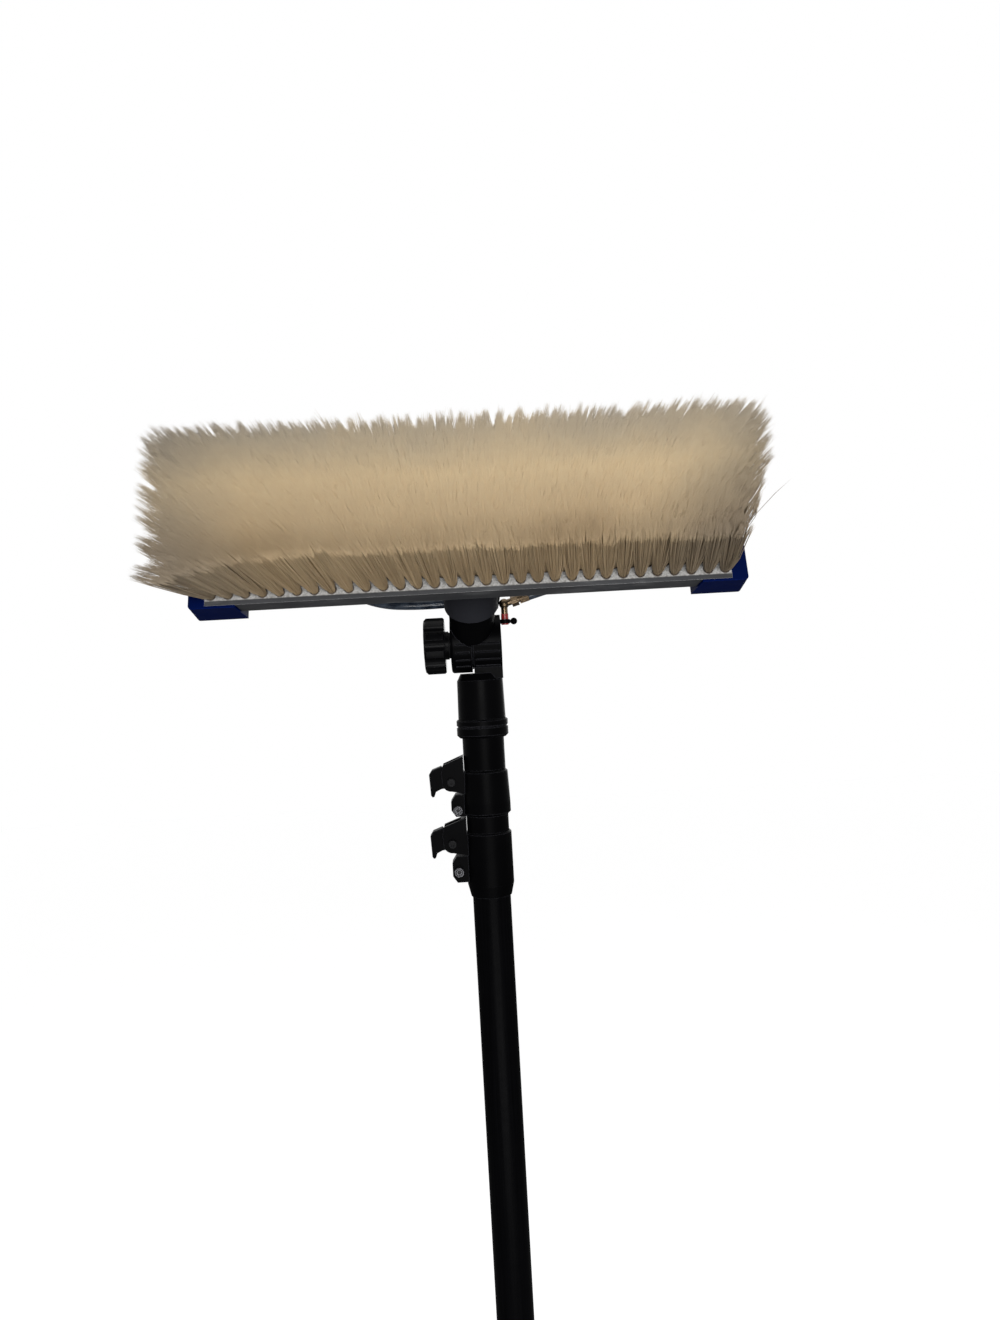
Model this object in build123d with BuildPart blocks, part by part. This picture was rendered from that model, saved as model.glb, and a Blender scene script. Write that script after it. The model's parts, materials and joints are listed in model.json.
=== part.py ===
from build123d import *
from math import cos, pi, radians, sin, tan
import os

# Window cleaning pole: a wide water-fed brush on a tilting adapter and a
# three-section telescopic pole with lever clamps, shown pushed together.
# Millimetres. Origin at the centre of the butt cap's foot, +Z up the pole,
# bristles towards -Y, knob and levers on the -X side.

# ---- telescopic pole ----
outer_tube_length = 1300.0
outer_tube_od = 35.0
tube_wall = 1.5
tube_gap = 0.35            # radial gap between one tube and the next
running_fit = 0.06         # radial clearance of parts that slide or turn
fixed_fit = 0.05           # radial clearance of parts clamped to each other
stack_gap = 0.2            # gap between pole sections pushed together
middle_tube_foot = 22.0    # height of the middle tube's lower end
bush_flange = 6.0
bush_plug = 26.0
bush_gap = 4.0             # between one bush's plug and the next bush above it
bush_bevel = 0.8
butt_wall = 3.0
butt_floor = 4.0
butt_height = 46.0
butt_round = 3.0
butt_bevel = 1.2
butt_grooves = 4
butt_groove_first = 8.0    # below the cap's rim
butt_groove_pitch = 7.0
butt_groove_width = 2.0
butt_groove_depth = 0.8
cut_size = 60.0            # larger than what a slot is cut through
cut_lap = 1.0              # a cut runs this far past a face

# ---- lever clamps ----
clamp_lip = 20.0           # from the clamped tube's end up to the clamp's rim
upper_clamp_radius = 22.0
lower_clamp_radius = 21.4
upper_clamp_height = 56.2
upper_collar_height = 15.0
upper_collar_radius = 19.4
lower_clamp_height = 59.0
clamp_taper = 11.0
clamp_draw = 2.6           # the lower clamp narrows by this much at its foot
rim_bevel = 1.2
barrel_taper = 1.0         # the upper clamp's barrel narrows by this much towards its rim
barrel_band = 12.0         # straight part of the barrel, above its collar
collar_bevel = 2.4
pivot_reach = 17.6         # pivot axis beyond the guided tube's surface
pivot_drop = 9.0           # pivot axis below the clamp's rim
bolt_reach = 11.0          # pinch bolt axis beyond the gripped tube's surface
bolt_drop = 35.0
ear_reach = 6.0            # ear beyond the pinch bolt's axis
ear_thickness = 7.0
ear_top = 21.0             # below the rim
ear_corner = (4.0, 6.0)    # slanted corners of the ears, out and up
ear_round = 2.5
upper_ear_depth = 20.0
lower_ear_depth = 24.0
pinch_slit = 2.0
slit_above_ear = 3.0
lever_width = 12.0
lever_side_gap = 0.3
cheek_thickness = 3.5
cheek_radius = 8.4
cheek_gap = 0.5            # cheeks to what stands above the clamp's rim
cheek_top = 23.3           # above the pivot
cheek_root = 12.0          # below the pivot
cheek_sink = 0.6           # cheeks' step below the rim
cheek_slant = 0.1          # flanks start this far inside the round end
cheek_back = [(-7.0, 15.9), (-9.0, 8.0)]   # free edge, out and up from the pivot
cheek_foot = (9.0, -10.5)
slot_reach = 8.5           # from the pivot axis to the slot's blind wall
slot_foot = 3.0            # slot below the cheeks' round end
# Lever's outline, out and up from the pivot: over the back, round the finger hook, back below.
lever_outline = [
    (-2.0, 6.0), (-9.0, 14.5), (-17.6, 11.4), (-20.2, 7.6), (-19.3, -11.5), (-18.0, -13.3), (-16.2, -12.8),
    (-14.6, -8.4), (-9.5, -6.0), (-2.0, -5.4),
]
lever_tip_round = 0.8
lever_bevel = 0.4
cam_radius = 6.6
cam_offset = 1.4
pad_gap = 0.15
pad_size = 8.0
pin_radius = 2.5
pin_head_radius = 4.0
pin_head_height = 3.0
pin_head_round = 0.8
pin_socket_floor = 1.0
bolt_radius = 2.5
bolt_head_radius = 4.2
bolt_head_height = 5.0
bolt_head_bevel = 0.5
nut_flats = 8.0
nut_height = 4.0
socket_flats = 4.0
socket_depth = 2.6

# ---- top of the inner section ----
neck_radius = 19.25
neck_length = 30.3         # visible below the ring
neck_lap = 14.0            # inside the ring
neck_bevel = 0.8
ring_radius = 23.75
ring_height = 16.7
ring_groove = 1.0
ring_groove_top = 5.5      # below the ring's top
ring_groove_foot = 7.5
ring_groove_slope = 0.5
ring_foot_bevel = 2.4
ring_top_bevel = 1.0
socket_foot_radius = 21.9
socket_top_radius = 21.2
socket_length = 36.9
socket_edge = (0.7, 1.0)   # in and up
tube_stop = 4.0            # inner tube's end below the socket's top
tube_end_gap = 0.5
shoulder_height = 5.4
shoulder_draw = 3.4
shoulder_gap = 1.0         # shoulder to the knuckle
socket_screw_radius = 2.0
socket_screw_turns = (60, 120)
screw_head_gap = 0.1
screw_head_height = 2.0

# ---- tilting joint ----
knuckle_radius = 26.0
joint_radius_gap = 0.5
ear_left = -4.5            # lower half of the joint, across X
ear_right = 21.4
ear_stem = 14.5            # half the width of the ear's stem
knuckle_left = -25.0       # upper half of the joint
joint_washer = 1.2
joint_face_gap = 0.15
disc_inset = 3.0           # friction disc inside the knuckle's rim
hinge_bolt_radius = 4.0
hinge_head_flats = 13.0
hinge_head_height = 5.6
hinge_head_sink = 0.4
shank_end_gap = 1.0
rib_height = 0.8
rib_count = 4
rib_first = 180.0          # degrees round the tilt axis, 180 facing -Y
rib_step = 17.0
rib_inset = 2.0
knuckle_round = 2.5
spigot_floor = 12.0        # solid depth of the spigot above the knuckle
spigot_radius = 20.5
spigot_bore = 15.0
spigot_length = 94.0
spigot_bevel = 1.5
spigot_end_gap = 0.5
spigot_offset = -4.0       # brush and spigot centre line, across X
knob_radius = 26.0
knob_thickness = 19.0
knob_neck = 3.2
knob_neck_radius = 13.0
knob_flutes = 10
knob_flute_radius = 6.0
knob_flute_depth = 3.2
knob_bevels = (2.2, 1.4)   # outer and inner face
knob_washer = 1.5
knob_washer_inset = 1.0
insert_radius = 7.0
knob_cap = 4.0             # closed end of the knob beyond the insert

# ---- brush ----
spigot_angle = 45.0        # spigot from the pole's axis, degrees
brush_angle = 72.0         # bristle direction from the pole's axis, degrees
brush_reach = 126.0        # tilt axis to the block's back, along the spigot
brush_length = 450.0
bumper_end = 13.0
block_thickness = 15.0
tuft_columns = 31
tuft_pitch = 13.8
tuft_rows = 12
row_gap = 8.6
row_margin = 8.7
hole_radius = 3.55
hole_depth = 10.0
tuft_root_radius = 3.5
tuft_tip_radius = 4.5
bristle_length = 70.0
end_lean = 28.0            # tips of the end tufts stand this far outwards
side_sweep = 6.0           # near rows swept sideways
right_hold = 22.0          # near rows held upright towards +X
near_lean = -5.0           # tips of the near row, across the rows
far_lean = 7.0
corner_lean = 8.0

# ---- socket boss on the block's back ----
boss_radius = 24.0
boss_rim = 49.0            # tilt axis to the boss's open rim, along the spigot
boss_plate = (96.0, 84.0, 5.0)
boss_rib = 6.0
boss_rib_inset = 4.0       # rib's ends inside the plate's long sides
boss_rib_top = 18.0        # below the boss's rim
boss_plate_round = 8.0
boss_screw_grid = (78.0, 64.0)
plate_head_height = 2.4    # heads of the screws into the block

# ---- bumpers ----
bumper_depth = 27.0
bumper_side = 2.0
bumper_wing = 42.0
bumper_slant = 5.0
bumper_screw_inset = 24.0
bumper_screw_side = 16.0   # in from the block's long sides
bumper_round = 3.0

# ---- water feed ----
hose_diameter = 9.0
arc_share = 0.45           # of the shorter run beside it, taken by each arc
jet_column = 10            # tuft column, counted from the middle, left out for a jet
jet_row = 8
jet_radius = 2.6
jet_standing = 6.0
elbow_radius = 6.0
elbow_drop = 12.0          # elbow's centre behind the block's back
elbow_collar = 5.5
tee_radius = 5.6
tee_saddle = (14.0, 16.0)  # across X, and along the spigot
tee_saddle_inset = 3.0
elbow_body = 4.8           # radius of the brass elbow
elbow_neck = 3.2
elbow_drop_below = 9.5     # elbow's centre to the end of its neck
coupling_flats = 9.6
hexagon_start = 7.2        # from the elbow's centre
hexagon_length = 6.5
nut_length = 9.2
nut_grooves = 20
nut_groove_radius = 0.4
nut_bevel = 0.6
collar_radius = 3.5
collar_bore = 2.5
collar_bevel_foot = 0.4
collar_length = 10.0
clip_radius = 4.6
clip_height = 4.0
clip_side_gap = 0.4
clip_ball_radius = 3.2
clip_stem_radius = 1.5
clip_stem_length = 2.4
clip_stem_lap = 0.6        # stem sunk in the clip's band
clip_ball_gap = 0.4        # ball to the band, over the stem
clip_above_mouth = 1.0

# ---- worked out ----
middle_tube_od = outer_tube_od - 2 * (tube_wall + tube_gap)
inner_tube_od = middle_tube_od - 2 * (tube_wall + tube_gap)
outer_tube_top = butt_floor + outer_tube_length
lower_rim = outer_tube_top + clamp_lip
upper_clamp_foot = lower_rim + stack_gap
upper_rim = upper_clamp_foot + upper_clamp_height
middle_tube_top = upper_rim - clamp_lip
neck_foot = upper_rim + stack_gap
ring_foot = neck_foot + neck_length
ring_top = ring_foot + ring_height
socket_top = ring_top + socket_length
shoulder_top = socket_top + shoulder_height
hinge_height = shoulder_top + knuckle_radius + shoulder_gap
inner_tube_top = socket_top - tube_stop
inner_tube_foot = middle_tube_foot + bush_plug + bush_gap + bush_flange
tower_half = lever_width / 2 + lever_side_gap + cheek_thickness
ear_half = pinch_slit / 2 + ear_thickness

tilt = radians(spigot_angle)
lean = radians(brush_angle)
spigot_dir = Vector(0, -sin(tilt), cos(tilt))
bristle_dir = Vector(0, -sin(lean), cos(lean))
across_dir = Vector(0, cos(lean), sin(lean))
joint_clear = knuckle_radius + rib_height + joint_radius_gap
head_seat = ear_right - hinge_head_height - hinge_head_sink
knob_face = knuckle_left - knob_washer - 2 * joint_face_gap
insert_depth = knob_neck + knob_thickness - knob_cap
hinge_point = Vector(0, 0, hinge_height)
spigot_root = hinge_point + Vector(spigot_offset, 0, 0)
block_back = spigot_root + spigot_dir * brush_reach

block_length = brush_length - 2 * bumper_end
block_width = 2 * row_margin + (tuft_rows - 1) * row_gap
last_column = (tuft_columns - 1) / 2
bumper_below = bumper_depth - block_thickness
screw_row = block_width / 2 - bumper_screw_side

spigot_plane = Plane(origin=spigot_root, x_dir=(1, 0, 0), z_dir=spigot_dir)
block_plane = Plane(origin=block_back, x_dir=(1, 0, 0), z_dir=bristle_dir)
face_plane = block_plane.offset(block_thickness)
tip_plane = face_plane.offset(bristle_length)

# Water hoses, as route points from the middle of the tilt axis.
hose_right_route = [
    (49.6, 4.9, 42.5), (69.5, 3, 48), (90, -8, 52), (107, -27, 62), (118, -47, 79), (126.8, -65.8, 97.8),
]
hose_left_route = [
    (-4, 7, 40.5), (-30, 7, 39.2), (-57, 4, 39), (-84, -5, 40.6), (-107, -21, 48.8),
    (-121.5, -39.5, 63), (-129.5, -54.5, 80), (-134.8, -65.8, 97.8),
]

made = []


def keep(name, builder):
    """Labels a finished piece and writes it to its own STEP file."""
    builder.part.label = name
    export_step(builder.part, f"parts/{name}.step")
    made.append(name)


def tube(foot, top, outer, bore):
    with BuildPart() as piece:
        with BuildSketch(Plane.XY.offset(foot)):
            Circle(outer)
            Circle(bore, mode=Mode.SUBTRACT)
        extrude(amount=top - foot)
    return piece


# ================= pole tubes =================
def pole_tubes():
    outer = outer_tube_od / 2
    middle = middle_tube_od / 2
    inner = inner_tube_od / 2
    keep("outer_tube", tube(butt_floor, outer_tube_top, outer, outer - tube_wall))
    keep("middle_tube", tube(middle_tube_foot, middle_tube_top, middle, middle - tube_wall))
    keep("inner_tube", tube(inner_tube_foot, inner_tube_top, inner, inner - tube_wall))
    keep("middle_guide_bush", guide_bush(middle_tube_foot, outer - tube_wall, middle - tube_wall))
    keep("inner_guide_bush", guide_bush(inner_tube_foot, middle - tube_wall, inner - tube_wall))


def guide_bush(tube_foot, bore_outside, bore_inside):
    """Plastic foot of a sliding tube: a flange that runs in the tube around it, and a plug."""
    drain = bore_inside / 2
    with BuildPart() as bush:
        with BuildSketch(Plane.XY.offset(tube_foot - bush_flange)):
            Circle(bore_outside - running_fit)
        extrude(amount=bush_flange)
        with BuildSketch(Plane.XY.offset(tube_foot)):
            Circle(bore_inside - fixed_fit)
        extrude(amount=bush_plug)
        with BuildSketch(Plane.XY.offset(tube_foot - bush_flange)):
            Circle(drain)
        extrude(amount=bush_flange + bush_plug, mode=Mode.SUBTRACT)
        chamfer(bush.faces().sort_by(Axis.Z)[0].edges(), bush_bevel)
    return bush


def butt_cap():
    outside = outer_tube_od / 2 + fixed_fit + butt_wall
    with BuildPart() as cap:
        with BuildSketch():
            Circle(outside)
        extrude(amount=butt_height)
        fillet(cap.faces().sort_by(Axis.Z)[0].edges(), butt_round)
        chamfer(cap.faces().sort_by(Axis.Z)[-1].edges(), butt_bevel)
        with BuildSketch(Plane.XY.offset(butt_floor)):
            Circle(outer_tube_od / 2 + fixed_fit)
        extrude(amount=butt_height - butt_floor, mode=Mode.SUBTRACT)
        for step in range(butt_grooves):
            with BuildSketch(Plane.XY.offset(butt_height - butt_groove_first - butt_groove_pitch * step)):
                Circle(outside)
                Circle(outside - butt_groove_depth, mode=Mode.SUBTRACT)
            extrude(amount=butt_groove_width, mode=Mode.SUBTRACT)
    keep("butt_cap", cap)


# ================= lever clamps =================
def clamp_layout(rim, gripped_od, guided_od):
    """Where a clamp's pivot and pinch bolt lie, in the XZ plane."""
    pivot = (-(guided_od / 2 + pivot_reach), rim - pivot_drop)
    bolt = (-(gripped_od / 2 + bolt_reach), rim - bolt_drop)
    return pivot, bolt


def clamp_body(name, rim, gripped_od, guided_od, outline, ear_depth, above_radius):
    """Clamp body: a split ring on the lower tube with cheeks for the lever and ears for the bolt.

    The outline is the ring's profile from its foot up, as (radius, depth below the rim).
    """
    pivot, bolt = clamp_layout(rim, gripped_od, guided_od)
    height = outline[0][1]
    foot = rim - height
    grip = gripped_od / 2 + fixed_fit
    guide = guided_od / 2 + running_fit
    above = -(above_radius + cheek_gap)
    ear_far = bolt[0] - ear_reach
    ear_in, ear_up = ear_corner
    px, pz = pivot
    ear_head = rim - ear_top
    ear_foot = ear_head - ear_depth
    with BuildPart() as body:
        with BuildSketch(Plane.XZ):
            with BuildLine():
                side = [(radius, rim - depth) for radius, depth in outline]
                Polyline((0, foot), *side, (0, rim), close=True)
            make_face()
        revolve(axis=Axis.Z)
        # cheeks on both sides of the lever
        with BuildSketch(Plane.XZ):
            with Locations(pivot):
                Circle(cheek_radius)
            back = [(px + out, pz + up) for out, up in cheek_back]
            inside = cheek_radius - cheek_slant
            Polygon((above, pz + cheek_top), *back, (px - inside, pz), (px, pz - inside),
                    (px + cheek_foot[0], pz + cheek_foot[1]), (-guide, pz - cheek_root),
                    (-guide, rim - cheek_sink), (above, rim - cheek_sink), align=None)
        extrude(amount=tower_half, both=True)
        # ears for the pinch bolt
        with BuildSketch(Plane.XZ):
            Polygon((-grip, ear_head), (ear_far + ear_in, ear_head), (ear_far, ear_head - ear_up),
                    (ear_far, ear_foot + ear_up), (ear_far + ear_in, ear_foot), (-grip, ear_foot),
                    align=None)
        extrude(amount=ear_half, both=True)
        fillet(body.edges().filter_by(Axis.Y).group_by(Axis.X)[0], ear_round)
        # slot for the lever, the pad's window, the pinch slit
        with BuildSketch(Plane.XZ):
            with Locations((px + slot_reach, pz - cheek_radius - slot_foot)):
                Rectangle(cut_size, cut_size, align=(Align.MAX, Align.MIN))
        extrude(amount=lever_width / 2 + lever_side_gap, both=True, mode=Mode.SUBTRACT)
        with BuildSketch(Plane.XZ):
            with Locations((0, pz)):
                Rectangle(cut_lap - px - slot_reach, pad_size + 2 * fixed_fit,
                          align=(Align.MAX, Align.CENTER))
        extrude(amount=pad_size / 2 + fixed_fit, both=True, mode=Mode.SUBTRACT)
        with BuildSketch(Plane.XZ):
            with Locations((0, foot)):
                Rectangle(cut_size, ear_head + slit_above_ear - foot, align=(Align.MAX, Align.MIN))
        extrude(amount=pinch_slit / 2, both=True, mode=Mode.SUBTRACT)
        # bores for the two tubes, the lever's pin and the bolt
        with BuildSketch(Plane.XY.offset(foot)):
            Circle(grip)
        extrude(amount=height - clamp_lip, mode=Mode.SUBTRACT)
        with BuildSketch(Plane.XY.offset(foot)):
            Circle(guide)
        extrude(amount=height, mode=Mode.SUBTRACT)
        with BuildSketch(Plane.XZ):
            with Locations(pivot, bolt):
                Circle(pin_radius + fixed_fit)
        extrude(amount=tower_half + cut_lap, both=True, mode=Mode.SUBTRACT)
    keep(name, body)


def lever(name, rim, gripped_od, guided_od):
    """Cam lever: eccentric cam at the pivot, an arm, and a finger hook turned down."""
    (px, pz), _ = clamp_layout(rim, gripped_od, guided_od)
    with BuildPart() as piece:
        with BuildSketch(Plane.XZ):
            with Locations((px + cam_offset, pz)):
                Circle(cam_radius)
            Polygon(*[(px + out, pz + up) for out, up in lever_outline], align=None)
        extrude(amount=lever_width / 2, both=True)
        tips = piece.edges().filter_by(Axis.Y).group_by(Axis.X)[:3]
        fillet([edge for group in tips for edge in group], lever_tip_round)
        chamfer(piece.faces().filter_by(Axis.Y).edges(), lever_bevel)
        with BuildSketch(Plane.XZ):
            with Locations((px, pz)):
                Circle(pin_radius + running_fit)
        extrude(amount=lever_width, both=True, mode=Mode.SUBTRACT)
    keep(name, piece)


def cam_pad(name, rim, gripped_od, guided_od):
    """Brake pad between the cam and the tube that slides through the clamp."""
    (px, pz), _ = clamp_layout(rim, gripped_od, guided_od)
    outer_end = px + cam_offset + cam_radius + pad_gap
    with BuildPart() as pad:
        with BuildSketch(Plane.XZ):
            with Locations((outer_end, pz)):
                Rectangle(-outer_end, pad_size, align=(Align.MIN, Align.CENTER))
        extrude(amount=pad_size / 2, both=True)
        with BuildSketch(Plane.XY.offset(pz - pad_size)):
            Circle(guided_od / 2 + running_fit)
        extrude(amount=2 * pad_size, mode=Mode.SUBTRACT)
    keep(name, pad)


def clamp_fasteners(prefix, rim, gripped_od, guided_od):
    """Lever pin, pinch bolt and their nuts, all along Y."""
    pivot, bolt = clamp_layout(rim, gripped_od, guided_od)
    front = Plane.XZ.offset(tower_half)
    with BuildPart() as pin:
        with BuildSketch(front):
            with Locations(pivot):
                Circle(pin_head_radius)
        extrude(amount=pin_head_height)
        fillet(pin.faces().sort_by(Axis.Y)[0].edges(), pin_head_round)
        with BuildSketch(front.offset(pin_head_height)):
            with Locations(pivot):
                RegularPolygon(socket_flats / 2, 6, major_radius=False)
        extrude(amount=pin_socket_floor - pin_head_height, mode=Mode.SUBTRACT)
        with BuildSketch(front):
            with Locations(pivot):
                Circle(pin_radius)
        extrude(amount=-(2 * tower_half + nut_height))
    keep(f"{prefix}_lever_pin", pin)
    ear_front = Plane.XZ.offset(ear_half)
    with BuildPart() as screw:
        with BuildSketch(ear_front):
            with Locations(bolt):
                Circle(bolt_head_radius)
        extrude(amount=bolt_head_height)
        chamfer(screw.faces().sort_by(Axis.Y)[0].edges(), bolt_head_bevel)
        with BuildSketch(ear_front.offset(bolt_head_height)):
            with Locations(bolt):
                RegularPolygon(socket_flats / 2, 6, major_radius=False)
        extrude(amount=-socket_depth, mode=Mode.SUBTRACT)
        with BuildSketch(ear_front):
            with Locations(bolt):
                Circle(bolt_radius)
        extrude(amount=-(2 * ear_half + nut_height))
    keep(f"{prefix}_pinch_bolt", screw)
    with BuildPart() as nuts:
        for place, half in ((pivot, tower_half), (bolt, ear_half)):
            with BuildSketch(Plane.XZ.offset(-half)):
                with Locations(place):
                    RegularPolygon(nut_flats / 2, 6, major_radius=False)
                    Circle(bolt_radius + fixed_fit, mode=Mode.SUBTRACT)
            extrude(amount=-nut_height)
    keep(f"{prefix}_nuts", nuts)


def clamps():
    upper = (upper_rim, middle_tube_od, inner_tube_od)
    lower = (lower_rim, outer_tube_od, middle_tube_od)
    collar_depth = upper_clamp_height - upper_collar_height
    upper_outline = [
        (upper_collar_radius, upper_clamp_height), (upper_collar_radius, collar_depth),
        (upper_clamp_radius, collar_depth - collar_bevel), (upper_clamp_radius, collar_depth - barrel_band),
        (upper_clamp_radius - barrel_taper, rim_bevel), (upper_clamp_radius - barrel_taper - rim_bevel, 0),
    ]
    lower_outline = [
        (lower_clamp_radius - clamp_draw, lower_clamp_height),
        (lower_clamp_radius, lower_clamp_height - clamp_taper),
        (lower_clamp_radius, rim_bevel), (lower_clamp_radius - rim_bevel, 0),
    ]
    clamp_body("upper_clamp_body", *upper, upper_outline, upper_ear_depth, neck_radius)
    clamp_body("lower_clamp_body", *lower, lower_outline, lower_ear_depth, upper_collar_radius)
    for prefix, place in (("upper", upper), ("lower", lower)):
        lever(f"{prefix}_lever", *place)
        cam_pad(f"{prefix}_cam_pad", *place)
        clamp_fasteners(prefix, *place)


# ================= top of the inner section =================
def neck_and_ring():
    inner = inner_tube_od / 2 + fixed_fit
    with BuildPart() as sleeve:
        with BuildSketch(Plane.XY.offset(neck_foot)):
            Circle(neck_radius)
            Circle(inner, mode=Mode.SUBTRACT)
        extrude(amount=neck_length + neck_lap)
        foot_edges = sleeve.edges().filter_by(GeomType.CIRCLE).group_by(Axis.Z)[0]
        chamfer(foot_edges.sort_by(SortBy.RADIUS)[-1], neck_bevel)
    keep("neck_sleeve", sleeve)
    bore = neck_radius + fixed_fit
    groove_foot = ring_top - ring_groove_foot
    groove_top = ring_top - ring_groove_top
    with BuildPart() as ring:
        with BuildSketch(Plane.XZ):
            with BuildLine():
                Polyline((bore, ring_foot), (ring_radius - ring_foot_bevel, ring_foot),
                         (ring_radius, ring_foot + ring_foot_bevel), (ring_radius, groove_foot),
                         (ring_radius - ring_groove, groove_foot + ring_groove_slope),
                         (ring_radius - ring_groove, groove_top - ring_groove_slope),
                         (ring_radius, groove_top), (ring_radius, ring_top - ring_top_bevel),
                         (ring_radius - ring_top_bevel, ring_top), (bore, ring_top), close=True)
            make_face()
        revolve(axis=Axis.Z)
    keep("lock_ring", ring)


def hinge_socket():
    """Lower half of the tilting joint: a socket on the inner tube with one thick ear."""
    inner = inner_tube_od / 2 + fixed_fit
    gap_foot = ring_top + stack_gap
    with BuildPart() as fork:
        with BuildSketch(Plane.XZ):
            with BuildLine():
                Polyline((0, gap_foot), (socket_foot_radius, gap_foot),
                         (socket_top_radius, socket_top - socket_edge[1]),
                         (socket_top_radius - socket_edge[0], socket_top),
                         (socket_top_radius - shoulder_draw, shoulder_top), (0, shoulder_top), close=True)
            make_face()
        revolve(axis=Axis.Z)
        with BuildSketch(Plane.YZ.offset(ear_left)):
            with Locations((0, hinge_height)):
                Circle(knuckle_radius)
            with Locations((0, socket_top)):
                Rectangle(2 * ear_stem, hinge_height - socket_top, align=(Align.CENTER, Align.MIN))
        extrude(amount=ear_right - ear_left)
        with BuildSketch(Plane.YZ.offset(ear_left + rib_inset)):
            with Locations(*rib_spots()):
                Circle(rib_height)
        extrude(amount=ear_right - ear_left - 2 * rib_inset)
        with BuildSketch(Plane.XY.offset(gap_foot)):
            Circle(inner)
        extrude(amount=inner_tube_top - gap_foot + tube_end_gap, mode=Mode.SUBTRACT)
        with BuildSketch(Plane.YZ.offset(ear_left)):
            with Locations((0, hinge_height)):
                Circle(hinge_bolt_radius + fixed_fit)
        extrude(amount=ear_right - ear_left, mode=Mode.SUBTRACT)
        with BuildSketch(Plane.YZ.offset(head_seat)):
            with Locations((0, hinge_height)):
                RegularPolygon(hinge_head_flats / 2 + fixed_fit, 6, major_radius=False)
        extrude(amount=ear_right - head_seat, mode=Mode.SUBTRACT)
        for turn in socket_screw_turns:
            with BuildSketch(socket_screw_plane(turn)):
                Circle(socket_screw_radius + fixed_fit)
            extrude(amount=-socket_foot_radius, mode=Mode.SUBTRACT)
    keep("hinge_socket", fork)


def socket_screw_plane(turn):
    """Plane facing out at the socket's side, halfway up it."""
    out = Vector(cos(radians(turn)), sin(radians(turn)), 0)
    seat = (socket_foot_radius + socket_top_radius) / 2 + screw_head_gap
    return Plane(origin=Vector(0, 0, ring_top + socket_length / 2) + out * seat, z_dir=out)


def socket_screws():
    reach = (socket_foot_radius + socket_top_radius) / 2 - inner_tube_od / 2 - fixed_fit
    with BuildPart() as screws:
        for turn in socket_screw_turns:
            seat = socket_screw_plane(turn)
            with BuildSketch(seat):
                Circle(socket_screw_radius)
            extrude(amount=-reach)
            with BuildSketch(seat):
                Circle(2 * socket_screw_radius)
            extrude(amount=screw_head_height)
    keep("socket_screws", screws)


# ================= tilting joint =================
def hinge_hardware():
    shank_end = knob_face - insert_depth + shank_end_gap
    with BuildPart() as bolt:
        with BuildSketch(Plane.YZ.offset(head_seat)):
            with Locations((0, hinge_height)):
                RegularPolygon(hinge_head_flats / 2, 6, major_radius=False)
        extrude(amount=hinge_head_height)
        with BuildSketch(Plane.YZ.offset(shank_end)):
            with Locations((0, hinge_height)):
                Circle(hinge_bolt_radius)
        extrude(amount=head_seat - shank_end)
    keep("hinge_bolt", bolt)
    with BuildPart() as disc:
        with BuildSketch(Plane.YZ.offset(ear_left - joint_face_gap - joint_washer)):
            with Locations((0, hinge_height)):
                Circle(knuckle_radius - disc_inset)
                Circle(hinge_bolt_radius + fixed_fit, mode=Mode.SUBTRACT)
        extrude(amount=joint_washer)
    keep("friction_disc", disc)
    with BuildPart() as washer:
        with BuildSketch(Plane.YZ.offset(knuckle_left - joint_face_gap - knob_washer)):
            with Locations((0, hinge_height)):
                Circle(knob_neck_radius - knob_washer_inset)
                Circle(hinge_bolt_radius + fixed_fit, mode=Mode.SUBTRACT)
        extrude(amount=knob_washer)
    keep("knob_washer", washer)


def knob():
    body_face = knob_face - knob_neck
    with BuildPart() as hand_knob:
        with BuildSketch(Plane.YZ.offset(body_face)):
            with Locations((0, hinge_height)):
                Circle(knob_radius)
        extrude(amount=-knob_thickness)
        chamfer(hand_knob.faces().sort_by(Axis.X)[0].edges(), knob_bevels[0])
        chamfer(hand_knob.faces().sort_by(Axis.X)[-1].edges(), knob_bevels[1])
        with BuildSketch(Plane.YZ.offset(body_face)):
            for step in range(knob_flutes):
                turn = 2 * pi * step / knob_flutes
                far = knob_radius + knob_flute_radius - knob_flute_depth
                with Locations((far * cos(turn), hinge_height + far * sin(turn))):
                    Circle(knob_flute_radius)
        extrude(amount=-knob_thickness, mode=Mode.SUBTRACT)
        with BuildSketch(Plane.YZ.offset(body_face)):
            with Locations((0, hinge_height)):
                Circle(knob_neck_radius)
        extrude(amount=knob_neck)
        with BuildSketch(Plane.YZ.offset(knob_face)):
            with Locations((0, hinge_height)):
                Circle(insert_radius + fixed_fit)
        extrude(amount=-insert_depth, mode=Mode.SUBTRACT)
    keep("hand_knob", hand_knob)
    with BuildPart() as insert:
        with BuildSketch(Plane.YZ.offset(knob_face)):
            with Locations((0, hinge_height)):
                Circle(insert_radius)
                Circle(hinge_bolt_radius + running_fit, mode=Mode.SUBTRACT)
        extrude(amount=-insert_depth)
    keep("knob_insert", insert)


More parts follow.
